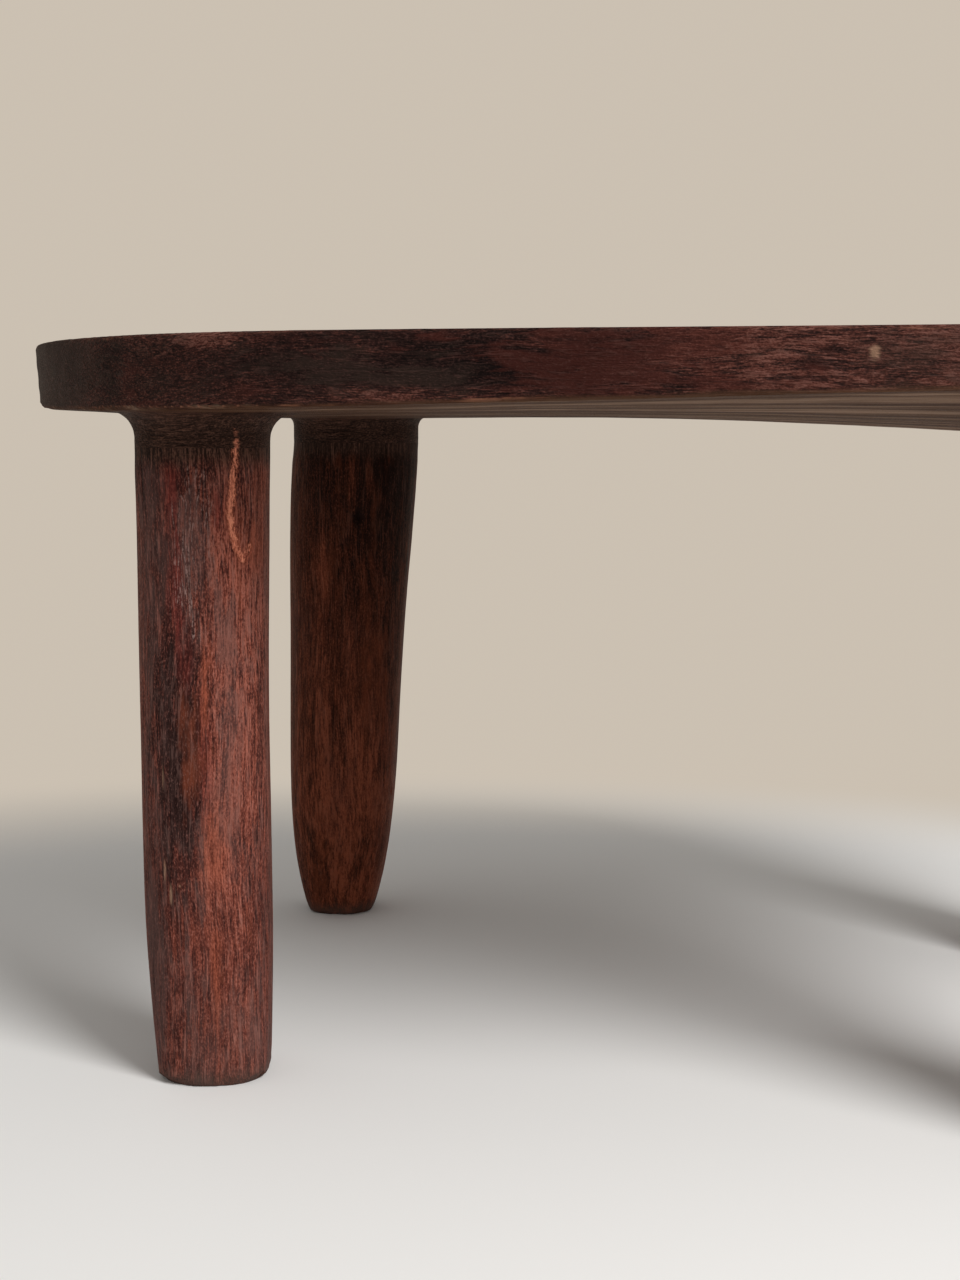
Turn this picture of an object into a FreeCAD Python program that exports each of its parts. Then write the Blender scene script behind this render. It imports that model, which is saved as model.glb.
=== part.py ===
import FreeCAD, Part
import math
import os
import Sketcher
from FreeCAD import Placement, Rotation, Vector

# A low table: one thick hewn plank with round ends, standing on four separate legs.
# Each leg ends in a round tenon that passes through the plank, and a wedge driven into
# the tenon from above holds it. The legs come in two shapes, a stout one and a tapered
# one, and the right pair is the left pair turned half round about the table's centre.
# Frame: millimetres, +Z up, +X along the length, origin on the floor under the centre.

SIZES = {
    # Overall size
    "table_height": 420,         # floor to table top
    "slab_length": 797.5,        # end to end
    "slab_width": 570,           # front edge to rear edge
    "slab_thickness": 41.5,      # at the line of the legs
    "round_corner": 278,         # plan radius of the front left and rear right corners
    "tight_corner": 220,         # plan radius of the rear left and front right corners
    # Hewn underside, at five stations along the length:
    # how much thinner its rim is than the plank, and how far its middle hangs below that rim
    "rim_left_end": 12,
    "belly_left_end": 1.5,
    "rim_left_legs": 3,
    "belly_left_legs": 3.5,
    "rim_middle": 7.5,
    "belly_middle": 7.8,
    "rim_right_legs": 13,
    "belly_right_legs": 23,
    "rim_right_end": 14.5,
    "belly_right_end": 17,
    "side_draft": 3.5,           # degrees that the plank's sides lean in towards the underside
    "top_edge_radius": 2.5,      # worn upper arris
    "bottom_edge_radius": 3,     # worn lower arris
    # Where the legs stand
    "end_inset": 144.75,         # end of the plank to the line of a pair of legs
    "side_inset": 101,           # long edge of the plank to the line of its legs
    "leg_skew": 14,              # each leg of a pair stands this far off the pair's line
    # Collar left on the underside round each mortise
    "collar_drop": 18,           # underside to the leg's shoulder
    "stout_cove": 14,            # hollow curve that sweeps from a stout leg's collar into the underside
    "tapered_cove": 7,           # the same at a tapered leg
    # Stout leg: width of its rounded-square section and radius of the corners
    "stout_foot_width": 62,
    "stout_foot_corner": 20,
    "stout_foot_shift": 3,       # towards the table's middle
    "stout_shin_level": 150,     # height of the shin section above the floor
    "stout_shin_width": 71.4,
    "stout_shin_corner": 28,
    "stout_knee_drop": 115,      # depth of the knee section below the shoulder
    "stout_knee_width": 71.6,
    "stout_knee_corner": 30,
    "stout_top_width": 75.5,
    "stout_top_corner": 36.7,
    "stout_turn": 15,            # degrees that its faces are turned from the plank's edges
    # Tapered leg: the same, with its sections set off from its axis, outwards where negative
    "tapered_foot_width": 50,
    "tapered_foot_corner": 19,
    "tapered_foot_shift": -13.2,
    "tapered_ankle_level": 85,
    "tapered_ankle_width": 77.5,
    "tapered_ankle_corner": 32,
    "tapered_ankle_shift": -11.5,
    "tapered_knee_level": 150,
    "tapered_knee_width": 82.5,
    "tapered_knee_corner": 35,
    "tapered_knee_shift": -9.5,
    "tapered_thigh_drop": 95,
    "tapered_thigh_width": 89.5,
    "tapered_thigh_corner": 40,
    "tapered_thigh_shift": -5.5,
    "tapered_top_width": 94,
    "tapered_top_corner": 46,
    "tapered_turn": 10,
    "foot_bevel": 1.5,           # worn bevel round the sole of each foot
    # Wedged tenons
    "tenon_diameter": 50,
    "tenon_clearance": 0.2,      # gap all round the tenon in its mortise
    "tenon_setback": 0.5,        # tenon and wedge end this far below the table top
    "kerf_depth": 42,            # saw kerf in the tenon, spread open by the wedge
    "kerf_mouth": 6,             # width of the spread kerf at the tenon's end
    "kerf_root": 2.5,            # width of the kerf at its bottom
    "wedge_end_gap": 1,          # each end of the wedge to the tenon's outer curve
    "wedge_tip_gap": 3,          # tip of the wedge to the bottom of the kerf
}

# Each leg: its shape, the signs of its corner along X and Y, and its turn in degrees
HALF_TURN = 180
LEGS = {
    "front_left": ("stout", -1, -1, 0),
    "rear_left": ("tapered", -1, 1, 0),
    "front_right": ("tapered", 1, -1, HALF_TURN),
    "rear_right": ("stout", 1, 1, HALF_TURN),
}

# Sections of each leg shape, from above the foot's bevel up to the shoulder, with their heights
SHOULDER = "(Sizes.table_height - Sizes.slab_thickness - Sizes.collar_drop)"
SECTIONS = {
    "stout": {
        "foot": "Sizes.foot_bevel",
        "shin": "Sizes.stout_shin_level",
        "knee": f"({SHOULDER} - Sizes.stout_knee_drop)",
        "top": SHOULDER,
    },
    "tapered": {
        "foot": "Sizes.foot_bevel",
        "ankle": "Sizes.tapered_ankle_level",
        "knee": "Sizes.tapered_knee_level",
        "thigh": f"({SHOULDER} - Sizes.tapered_thigh_drop)",
        "top": SHOULDER,
    },
}

TENON_END = "(Sizes.table_height - Sizes.tenon_setback)"
LEG_LINE = "(Sizes.slab_length / 2 - Sizes.end_inset)"
LEG_ROW = "(Sizes.slab_width / 2 - Sizes.side_inset)"

CUT_OVERRUN = 20.0       # cutting shapes run this far past the plank
LEAST_STRAIGHT = 1.0     # a round corner leaves at least this much of each side straight
COVE_SHARE = 0.8         # a cove takes at most this share of its collar's height

# Stations of the hewn underside, with their places along the length
STATIONS = {
    "left_end": f"-(Sizes.slab_length / 2 + {CUT_OVERRUN})",
    "left_legs": f"-{LEG_LINE}",
    "middle": "0",
    "right_legs": LEG_LINE,
    "right_end": f"(Sizes.slab_length / 2 + {CUT_OVERRUN})",
}
BELLIES = "; ".join(f"Sizes.belly_{station}" for station in STATIONS)
BLANK_THICKNESS = f"(Sizes.slab_thickness + max({BELLIES}))"

QUARTER = math.pi / 2
UPWARD = Vector(0, 0, 1)
CORNER_SIDES = [(1, 1), (-1, 1), (-1, -1), (1, -1)]   # anticlockwise from the rear right
CENTRE_POINT = (-1, 1)   # a sketch's own origin
CROSS_AXIS = -2          # a sketch's own vertical axis
LEVEL_TOLERANCE = 0.01   # edges this close to a level or a radius lie on it
EDGE_SAMPLES = 9         # points looked at along an edge

doc = FreeCAD.newDocument("low_wooden_table")
sheet = doc.addObject("Spreadsheet::Sheet", "Sizes")
for row, (alias, size) in enumerate(SIZES.items(), start=1):
    sheet.set(f"A{row}", alias)
    sheet.set(f"B{row}", str(size))
    sheet.setAlias(f"B{row}", alias)
doc.recompute()


def value(formula):
    """Work out a formula of the sheet's sizes."""
    return float(sheet.evalExpression(formula))


def leg_place(name):
    """Formulas for the X and Y of a leg's axis."""
    _, side, depth, _ = LEGS[name]
    along = f"({side} * {LEG_LINE} - {depth} * Sizes.leg_skew)"
    across = f"({depth} * {LEG_ROW})"
    return along, across


def new_body(label):
    """Start one sub-part."""
    body = doc.addObject("PartDesign::Body", label)
    body.Label = label
    return body


def stand_at_leg(body, name):
    """Place a sub-part on a leg's axis, turned as that leg is."""
    along, across = leg_place(name)
    body.Placement = Placement(Vector(), Rotation(UPWARD, LEGS[name][3]))
    body.setExpression("Placement.Base.x", along)
    body.setExpression("Placement.Base.y", across)


def add_sketch(body, name, role, x="0", y="0", z="0"):
    """Start a sketch on one of the body's base planes, moved along the plane's own axes."""
    sketch = body.newObject("Sketcher::SketchObject", name)
    plane = next(item for item in body.Origin.OriginFeatures if item.Role == role)
    sketch.AttachmentSupport = [(plane, "")]
    sketch.MapMode = "FlatFace"
    for axis, formula in zip("xyz", (x, y, z)):
        sketch.setExpression(f"AttachmentOffset.Base.{axis}", formula)
    return sketch


def constrain(sketch, *rules):
    """Add plain geometric constraints."""
    for rule in rules:
        sketch.addConstraint(Sketcher.Constraint(*rule))


def dimension(sketch, name, formula, *rule):
    """Add a named dimension that follows a formula of the sheet's sizes."""
    index = sketch.addConstraint(Sketcher.Constraint(*rule, value(formula)))
    sketch.renameConstraint(index, name)
    sketch.setExpression(f"Constraints.{name}", formula)


def polyline(sketch, points):
    """Draw joined lines through the points and return their numbers."""
    lines = [
        sketch.addGeometry(Part.LineSegment(Vector(*start, 0), Vector(*end, 0)))
        for start, end in zip(points, points[1:])
    ]
    for first, second in zip(lines, lines[1:]):
        constrain(sketch, ("Coincident", first, 2, second, 1))
    return lines


def draw_circle(sketch, diameter):
    """Draw a circle about the sketch's origin."""
    circle = sketch.addGeometry(Part.Circle(Vector(), UPWARD, value(diameter) / 2))
    constrain(sketch, ("Coincident", circle, 3, *CENTRE_POINT))
    dimension(sketch, "diameter", diameter, "Diameter", circle)


def draw_rounded_rectangle(sketch, length, width, corners):
    """Draw a rectangle about the sketch's origin whose opposite corners share a radius."""
    half_length, half_width = value(length) / 2, value(width) / 2
    room = f"min({length}; {width}) / 2 - {LEAST_STRAIGHT}"
    limited = [f"min({corner}; {room})" for corner in corners]
    arcs = []
    for turn, (side_x, side_y) in enumerate(CORNER_SIDES):
        radius = value(limited[turn % 2])
        centre = Vector(side_x * (half_length - radius), side_y * (half_width - radius), 0)
        circle = Part.Circle(centre, UPWARD, radius)
        arcs.append(sketch.addGeometry(Part.ArcOfCircle(circle, turn * QUARTER, (turn + 1) * QUARTER)))
    sides = []
    for arc, following in zip(arcs, arcs[1:] + arcs[:1]):
        start = sketch.Geometry[arc].EndPoint
        end = sketch.Geometry[following].StartPoint
        side = sketch.addGeometry(Part.LineSegment(start, end))
        constrain(sketch, ("Tangent", arc, 2, side, 1), ("Tangent", side, 2, following, 1))
        sides.append(side)
    rear, left, front, right = sides
    constrain(
        sketch,
        ("Horizontal", rear),
        ("Horizontal", front),
        ("Vertical", left),
        ("Vertical", right),
        ("Equal", arcs[0], arcs[2]),
        ("Equal", arcs[1], arcs[3]),
        ("Symmetric", arcs[0], 3, arcs[2], 3, *CENTRE_POINT),
    )
    dimension(sketch, "length", length, "DistanceX", left, 1, right, 1)
    dimension(sketch, "width", width, "DistanceY", front, 1, rear, 1)
    dimension(sketch, "first_corner", limited[0], "Radius", arcs[0])
    dimension(sketch, "second_corner", limited[1], "Radius", arcs[1])


def draw_trapezoid(sketch, top_level, top_width, bottom_level, bottom_width):
    """Draw a wedge section that is symmetric about the upright axis."""
    top_half, bottom_half = value(top_width) / 2, value(bottom_width) / 2
    top, bottom = value(top_level), value(bottom_level)
    corners = [(-top_half, top), (-bottom_half, bottom), (bottom_half, bottom), (top_half, top)]
    left, base, _, head = polyline(sketch, corners + corners[:1])
    constrain(
        sketch,
        ("Coincident", head, 2, left, 1),
        ("Symmetric", head, 1, head, 2, CROSS_AXIS),
        ("Symmetric", base, 1, base, 2, CROSS_AXIS),
    )
    dimension(sketch, "top_width", top_width, "DistanceX", head, 2, head, 1)
    dimension(sketch, "bottom_width", bottom_width, "DistanceX", base, 1, base, 2)
    dimension(sketch, "top_level", top_level, "DistanceY", *CENTRE_POINT, head, 1)
    dimension(sketch, "bottom_level", bottom_level, "DistanceY", *CENTRE_POINT, base, 1)


def draw_hewn_section(sketch, station):
    """Draw what is hewn away below the plank: a box whose upper side is a shallow arc."""
    belly = f"Sizes.belly_{station}"
    rim = f"(Sizes.slab_thickness - Sizes.rim_{station})"
    radius = f"(((Sizes.slab_width / 2)^2 + {belly}^2) / (2 * {belly}))"
    centre = f"(Sizes.table_height - {rim} - {belly} + {radius})"
    floor = f"(Sizes.table_height - {BLANK_THICKNESS} - {CUT_OVERRUN})"
    width = f"(Sizes.slab_width + 2 * {CUT_OVERRUN})"
    half = value(width) / 2
    reach = math.asin(half / value(radius))
    circle = Part.Circle(Vector(0, value(centre), 0), UPWARD, value(radius))
    arc = sketch.addGeometry(Part.ArcOfCircle(circle, -QUARTER - reach, -QUARTER + reach))
    ends = sketch.Geometry[arc].StartPoint, sketch.Geometry[arc].EndPoint
    low = value(floor)
    left, base, right = polyline(sketch, [(-half, ends[0].y), (-half, low), (half, low), (half, ends[1].y)])
    constrain(
        sketch,
        ("Coincident", arc, 1, left, 1),
        ("Coincident", arc, 2, right, 2),
        ("Vertical", left),
        ("Vertical", right),
        ("Symmetric", base, 1, base, 2, CROSS_AXIS),
        ("PointOnObject", arc, 3, CROSS_AXIS),
    )
    dimension(sketch, "hewn_radius", radius, "Radius", arc)
    dimension(sketch, "hewn_centre", centre, "DistanceY", *CENTRE_POINT, arc, 3)
    dimension(sketch, "cut_width", width, "DistanceX", base, 1, base, 2)
    dimension(sketch, "cut_floor", floor, "DistanceY", *CENTRE_POINT, base, 1)


def extrude(body, kind, name, sketch, length=None, reverse=False, symmetric=False):
    """Add a Pad or a Pocket; without a length a Pocket goes right through."""
    feature = body.newObject(f"PartDesign::{kind}", name)
    feature.Profile = sketch
    feature.Reversed = reverse
    if symmetric:
        feature.SideType = "Symmetric"
    if length:
        feature.setExpression("Length", length)
    else:
        feature.Type = "ThroughAll"
    return feature


def loft(body, kind, name, sketches, ruled):
    """Add a loft through the sketches."""
    feature = body.newObject(f"PartDesign::{kind}", name)
    feature.Profile = sketches[0]
    feature.Sections = sketches[1:]
    feature.Ruled = ruled
    return feature


def round_edges(body, name, base, chosen, radius):
    """Round those edges of the last feature that the test chooses."""
    doc.recompute()
    names = [f"Edge{number}" for number, edge in enumerate(base.Shape.Edges, start=1) if chosen(edge)]
    feature = body.newObject("PartDesign::Fillet", name)
    feature.Base = (base, names)
    feature.setExpression("Radius", radius)
    return feature


def at_level(edge, level):
    """True for an edge that lies flat at a level."""
    box = edge.BoundBox
    return abs(box.ZMin - level) < LEVEL_TOLERANCE and abs(box.ZMax - level) < LEVEL_TOLERANCE


def is_lower_rim(edge):
    """True for an edge between the hewn underside and the plank's upright side."""
    box = edge.BoundBox
    upright = box.ZLength > max(box.XLength, box.YLength)
    return not upright and box.ZMax < value("Sizes.table_height - Sizes.top_edge_radius") - LEVEL_TOLERANCE


def is_collar_root(edge, name):
    """True for an edge where a leg's collar meets the hewn underside."""
    along, across = (value(place) for place in leg_place(name))
    neck = value(f"Sizes.{LEGS[name][0]}_top_width") / 2
    for point in edge.discretize(EDGE_SAMPLES):
        off_neck = math.hypot(point.x - along, point.y - across) - neck
        if abs(off_neck) > LEVEL_TOLERANCE or point.z < value(SHOULDER) + LEVEL_TOLERANCE:
            return False
    return True


def cove_size(name):
    """Formula for a cove's radius, limited by its collar's lowest wall, on the inner side."""
    kind, side, _, _ = LEGS[name]
    station = "left_legs" if side < 0 else "right_legs"
    inner = f"({LEG_ROW} - Sizes.{kind}_top_width / 2)"
    sag = f"Sizes.belly_{station} * (1 - (2 * {inner} / Sizes.slab_width)^2)"
    wall = f"(Sizes.collar_drop + Sizes.rim_{station} - {sag})"
    return f"min(Sizes.{kind}_cove; {COVE_SHARE} * {wall})"


def make_slab():
    """The plank: round-ended blank, hewn underside, worn rim, collars and mortises."""
    body = new_body("top_slab")
    outline = add_sketch(body, "slab_outline", "XY_Plane", z="Sizes.table_height")
    corners = "Sizes.round_corner", "Sizes.tight_corner"
    draw_rounded_rectangle(outline, "Sizes.slab_length", "Sizes.slab_width", corners)
    blank = extrude(body, "Pad", "slab_blank", outline, BLANK_THICKNESS, reverse=True)
    blank.setExpression("TaperAngle", "-Sizes.side_draft")
    hewn = []
    for station, place in STATIONS.items():
        section = add_sketch(body, f"hewn_{station}", "YZ_Plane", z=place)
        draw_hewn_section(section, station)
        hewn.append(section)
    underside = loft(body, "SubtractiveLoft", "hewn_underside", hewn, ruled=False)
    top = value("Sizes.table_height")
    worn = round_edges(
        body, "worn_top_edge", underside, lambda edge: at_level(edge, top), "Sizes.top_edge_radius"
    )
    round_edges(body, "worn_bottom_edge", worn, is_lower_rim, "Sizes.bottom_edge_radius")
    for name, (kind, _, _, _) in LEGS.items():
        along, across = leg_place(name)
        neck = add_sketch(body, f"collar_{name}_neck", "XY_Plane", along, across, SHOULDER)
        draw_circle(neck, f"Sizes.{kind}_top_width")
        collar = extrude(body, "Pad", f"collar_{name}", neck, "Sizes.collar_drop + Sizes.slab_thickness / 2")
        round_edges(body, f"cove_{name}", collar, lambda edge: is_collar_root(edge, name), cove_size(name))
    for name in LEGS:
        along, across = leg_place(name)
        bore = add_sketch(body, f"mortise_{name}_bore", "XY_Plane", along, across, "Sizes.table_height")
        draw_circle(bore, "(Sizes.tenon_diameter + 2 * Sizes.tenon_clearance)")
        extrude(body, "Pocket", f"mortise_{name}", bore)
    return body


def add_leg_section(body, name, station, level, label, inset="0"):
    """Draw one section of a leg, drawn in all round by the inset."""
    kind = LEGS[name][0]
    shift = f"{kind}_{station}_shift"
    offset = f"Sizes.{shift}" if shift in SIZES else "0"
    section = add_sketch(body, f"{name}_{label}", "XY_Plane", x=offset, z=level)
    section.setExpression("AttachmentOffset.Rotation.Angle", f"Sizes.{kind}_turn")
    width = f"(Sizes.{kind}_{station}_width - 2 * {inset})"
    corner = f"(Sizes.{kind}_{station}_corner - {inset})"
    draw_rounded_rectangle(section, width, width, (corner, corner))
    return section


def make_leg(name):
    """A leg: hewn shaft from foot to shoulder, round tenon, and the kerf for its wedge."""
    body = new_body(f"leg_{name}")
    stand_at_leg(body, name)
    sole = add_leg_section(body, name, "foot", "0", "sole", inset="Sizes.foot_bevel")
    stations = SECTIONS[LEGS[name][0]].items()
    sections = [add_leg_section(body, name, station, level, station) for station, level in stations]
    loft(body, "AdditiveLoft", f"{name}_bevel", [sole, sections[0]], ruled=True)
    loft(body, "AdditiveLoft", f"{name}_shaft", sections, ruled=False)
    root = add_sketch(body, f"{name}_tenon_root", "XY_Plane", z=SHOULDER)
    draw_circle(root, "Sizes.tenon_diameter")
    extrude(body, "Pad", f"{name}_tenon", root, f"{TENON_END} - {SHOULDER}")
    kerf = add_sketch(body, f"{name}_kerf_section", "XZ_Plane")
    draw_trapezoid(
        kerf, TENON_END, "Sizes.kerf_mouth", f"({TENON_END} - Sizes.kerf_depth)", "Sizes.kerf_root"
    )
    extrude(body, "Pocket", f"{name}_kerf", kerf, symmetric=True)
    return body


def make_wedge(name):
    """A wedge that fills the kerf of one tenon face to face."""
    body = new_body(f"wedge_{name}")
    stand_at_leg(body, name)
    section = add_sketch(body, f"{name}_wedge_section", "XZ_Plane")
    taper = "(Sizes.kerf_mouth - Sizes.kerf_root) * Sizes.wedge_tip_gap / Sizes.kerf_depth"
    tip_level = f"({TENON_END} - Sizes.kerf_depth + Sizes.wedge_tip_gap)"
    draw_trapezoid(section, TENON_END, "Sizes.kerf_mouth", tip_level, f"(Sizes.kerf_root + {taper})")
    length = "Sizes.tenon_diameter - 2 * Sizes.wedge_end_gap"
    extrude(body, "Pad", f"{name}_wedge", section, length, symmetric=True)
    return body


def check_features(body):
    """Every added feature adds material, and every cut takes some away."""
    before = 0.0
    for feature in body.Group:
        if not feature.isDerivedFrom("PartDesign::Feature"):
            continue
        after = feature.Shape.Volume
        cuts = feature.TypeId.endswith(("Pocket", "SubtractiveLoft")) or feature.Name.startswith("worn")
        if (after >= before) == cuts:
            raise RuntimeError(f"{feature.Name} changed nothing: {before:.1f} to {after:.1f} mm3")
        before = after


bodies = [make_slab()]
bodies += [make_leg(name) for name in LEGS]
bodies += [make_wedge(name) for name in LEGS]
doc.recompute()

for item in doc.Objects:
    if "Invalid" in item.State or "Error" in item.State:
        raise RuntimeError(f"{item.Name} failed: {item.State}")
for body in bodies:
    check_features(body)
    if body.Shape.isNull() or not body.Shape.isValid() or len(body.Shape.Solids) != 1:
        raise RuntimeError(f"{body.Label} is not one valid solid")

os.makedirs("parts", exist_ok=True)
for body in bodies:
    body.Shape.exportStep(f"parts/{body.Label}.step")
    box = body.Shape.optimalBoundingBox()
    print(f"{body.Label}: {box.XLength:.1f} x {box.YLength:.1f} x {box.ZLength:.1f} mm")
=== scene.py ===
# %% [markdown]
# A low wooden table, hewn by hand. One thick plank stands on four legs, and each leg ends in
# a round tenon that passes through the plank and is held by a wedge. The shape comes from a
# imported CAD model, and this lesson gives it the surface of old, hand-cut wood: first the
# camera, then the plank, the legs and the wedges, then the finishes, and last the light.

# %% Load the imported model
import math
import bmesh
import bpy
import numpy as np
from mathutils import Matrix, Vector, noise
from types import SimpleNamespace


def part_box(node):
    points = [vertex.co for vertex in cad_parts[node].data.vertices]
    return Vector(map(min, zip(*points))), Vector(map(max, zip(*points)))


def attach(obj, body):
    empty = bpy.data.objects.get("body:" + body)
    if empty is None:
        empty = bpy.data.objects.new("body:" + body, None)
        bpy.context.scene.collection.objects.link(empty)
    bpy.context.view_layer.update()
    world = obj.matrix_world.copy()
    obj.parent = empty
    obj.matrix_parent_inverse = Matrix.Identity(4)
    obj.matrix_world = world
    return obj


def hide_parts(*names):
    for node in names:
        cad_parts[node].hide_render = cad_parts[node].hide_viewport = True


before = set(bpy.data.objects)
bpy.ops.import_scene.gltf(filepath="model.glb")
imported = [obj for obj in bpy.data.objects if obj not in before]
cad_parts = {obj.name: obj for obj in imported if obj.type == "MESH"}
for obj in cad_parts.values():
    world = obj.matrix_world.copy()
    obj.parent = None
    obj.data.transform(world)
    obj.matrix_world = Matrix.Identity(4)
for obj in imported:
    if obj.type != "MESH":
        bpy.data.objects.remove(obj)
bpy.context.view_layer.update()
print("CAD nodes:", sorted(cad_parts))

# %% [markdown]
# The camera comes first, and it takes the photograph's view. It
# stands low, just under the level of the table top, and looks slightly down and to the left.
# A single matrix gives its place and its three turns, so no constraint is needed.

# %% Camera
CAMERA_PLACE = (0.164, -1.159, 0.3725)
CAMERA_YAW, CAMERA_PITCH, CAMERA_ROLL = 14.0, 83.43, 0.23
CAMERA_LENS = 52.0


def turn(degrees, axis):
    """A rotation matrix about one axis."""
    return Matrix.Rotation(math.radians(degrees), 4, axis)


camera = bpy.data.objects.new("camera", bpy.data.cameras.new("camera"))
bpy.context.scene.collection.objects.link(camera)
camera.data.lens = CAMERA_LENS
aim = turn(CAMERA_YAW, "Z") @ turn(CAMERA_PITCH, "X") @ turn(CAMERA_ROLL, "Z")
camera.matrix_world = Matrix.Translation(CAMERA_PLACE) @ aim
bpy.context.scene.camera = camera
print("Camera at", CAMERA_PLACE, "with a lens of", CAMERA_LENS, "mm")

# %% [markdown]
# Operators act on whatever is selected, so each piece is opened by itself. These small helpers
# do what a modeller does all day: pick one object, open it, choose points by their place, and
# apply a modifier once it looks right. The last one smooths a finished piece, hides the CAD node
# that it stands for and hangs it under the root body.

# %% Helpers for modelling
SMOOTH_ANGLE = math.radians(50)
ROUND_POINTS = 96


def let_go():
    """Deselect everything."""
    bpy.ops.object.select_all(action="DESELECT")


def only(piece):
    """Select one piece and nothing else."""
    let_go()
    piece.select_set(True)
    bpy.context.view_layer.objects.active = piece


def open_piece(piece):
    """Open one piece in edit mode with all of it selected."""
    only(piece)
    bpy.ops.object.mode_set(mode="EDIT")
    bpy.ops.mesh.select_all(action="SELECT")


def close_piece():
    """Turn every face outwards and leave edit mode."""
    bpy.ops.mesh.select_all(action="SELECT")
    bpy.ops.mesh.normals_make_consistent(inside=False)
    bpy.ops.object.mode_set(mode="OBJECT")


def pick_points(piece, wanted):
    """In edit mode, select the points whose place passes a test."""
    bpy.ops.mesh.select_all(action="DESELECT")
    mesh = bmesh.from_edit_mesh(piece.data)
    for vertex in mesh.verts:
        vertex.select_set(wanted(vertex.co))
    mesh.select_flush(True)
    bmesh.update_edit_mesh(piece.data)


def use_modifier(piece, kind, **settings):
    """Add a modifier, set it up and apply it."""
    modifier = piece.modifiers.new(kind.lower(), kind)
    for name, setting in settings.items():
        setattr(modifier, name, setting)
    only(piece)
    bpy.ops.object.modifier_apply(modifier=modifier.name)


def join_pieces(pieces):
    """Join several pieces into the first one."""
    only(pieces[0])
    for piece in pieces[1:]:
        piece.select_set(True)
    bpy.ops.object.join()
    return pieces[0]


def cut_out(piece, cutter):
    """Take the shape of a cutter out of a piece, then throw the cutter away."""
    use_modifier(piece, "BOOLEAN", operation="DIFFERENCE", solver="EXACT", object=cutter)
    bpy.data.objects.remove(cutter)


def hand_over(piece, node):
    """Smooth a finished piece and let it stand for its CAD node."""
    only(piece)
    bpy.ops.object.shade_smooth_by_angle(angle=SMOOTH_ANGLE)
    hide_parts(node)
    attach(piece, "root")


print("Helpers ready")

# %% [markdown]
# Every leg has one axis that its tenon, its mortise, its collar and its wedge share. The
# wedges sit on these axes, so their boxes in the frame say where the axes are. The stout legs
# stand at the front left and the rear right, the tapered ones at the other two corners. The
# right pair is turned half round, so its feet lean the other way.

# %% Where the legs stand
LEG_SHAPES = {
    "front_left": ("stout", 1),
    "rear_left": ("tapered", 1),
    "front_right": ("tapered", -1),
    "rear_right": ("stout", -1),
}
NECK_RADIUS = {"stout": 0.03775, "tapered": 0.047}
COVES = {"stout": 0.014, "tapered": 0.007}
TENON_RADIUS = 0.025
MORTISE_RADIUS = 0.0252

slab_low, slab_high = (Vector(corner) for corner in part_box("top_slab"))
TABLE_TOP, SHOULDER = slab_high.z, slab_low.z
TENON_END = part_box("wedge_front_left")[1][2]
LEGS = {}
for name, (kind, facing) in LEG_SHAPES.items():
    low, high = (Vector(corner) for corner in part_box(f"wedge_{name}"))
    middle = (low + high) / 2
    LEGS[name] = (kind, middle.x, middle.y, facing)
    print(name, "is", kind, "at", (round(middle.x, 4), round(middle.y, 4)))

# %% [markdown]
# The plank is blocked out roughly, as a sculptor would: a flat outline with four rounded
# corners, extruded to a board, with a stub and a cone under each leg for its collar. The stubs
# reach below the shoulder, because a soft remesh rounds every edge, and a clean saw cut at
# the shoulder will give the collars their crisp lower edge later.

# %% Block out the plank
PLANK_THICKNESS = 0.0415
CORNER_RADII = {1: 0.278, -1: 0.22}     # by the sign of x * y at the corner
CORNER_STEPS = 24
NEAR_CORNER = 0.49      # of the length and of the width, from the middle
STUB_OVERRUN = 0.008
plank_length, plank_width = slab_high.x - slab_low.x, slab_high.y - slab_low.y


def is_corner(place, sign):
    """True for the two sharp corners whose x and y have this sign together."""
    sharp = abs(place.x) > NEAR_CORNER * plank_length and abs(place.y) > NEAR_CORNER * plank_width
    return sharp and place.x * place.y * sign > 0


let_go()
bpy.ops.mesh.primitive_plane_add(size=1, location=(0, 0, TABLE_TOP))
plank = bpy.context.object
plank.name = "hewn_plank"
plank.scale = (plank_length, plank_width, 1)
bpy.ops.object.transform_apply(location=True, scale=True)
open_piece(plank)
for sign, radius in CORNER_RADII.items():
    pick_points(plank, lambda place: is_corner(place, sign))
    bpy.ops.mesh.bevel(offset=radius, segments=CORNER_STEPS, affect="VERTICES")
bpy.ops.mesh.select_all(action="SELECT")
bpy.ops.mesh.extrude_region_move(TRANSFORM_OT_translate={"value": (0, 0, -PLANK_THICKNESS)})
close_piece()
underside = TABLE_TOP - PLANK_THICKNESS
collars = []
for kind, x, y, facing in LEGS.values():
    neck, cove = NECK_RADIUS[kind], COVES[kind]
    stub = (SHOULDER - STUB_OVERRUN, underside + cove, neck, neck)
    flare = (underside - cove, underside, neck, neck + cove)
    for bottom, top, low_radius, high_radius in (stub, flare):
        bpy.ops.mesh.primitive_cone_add(
            vertices=ROUND_POINTS, radius1=low_radius, radius2=high_radius, depth=top - bottom,
            location=(x, y, (bottom + top) / 2),
        )
        collars.append(bpy.context.object)
join_pieces([plank] + collars)
print("Blocked out the plank with", len(plank.data.vertices), "points")

# %% [markdown]
# A voxel remesh melts board and stubs into one skin of even squares, and a Shrinkwrap lays that
# skin on the CAD solid, which knows the true shape of the hewn underside. Doing both twice
# keeps the squares even where the skin had to move far. Inside the mortises and below the
# shoulder the CAD has other walls that would pull the skin astray, so those points are left.

# %% Lay an even skin on the plank
VOXELS = (0.005, 0.0022)
MORTISE_MARGIN = 0.0035
SHOULDER_MARGIN = 0.0015


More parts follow.
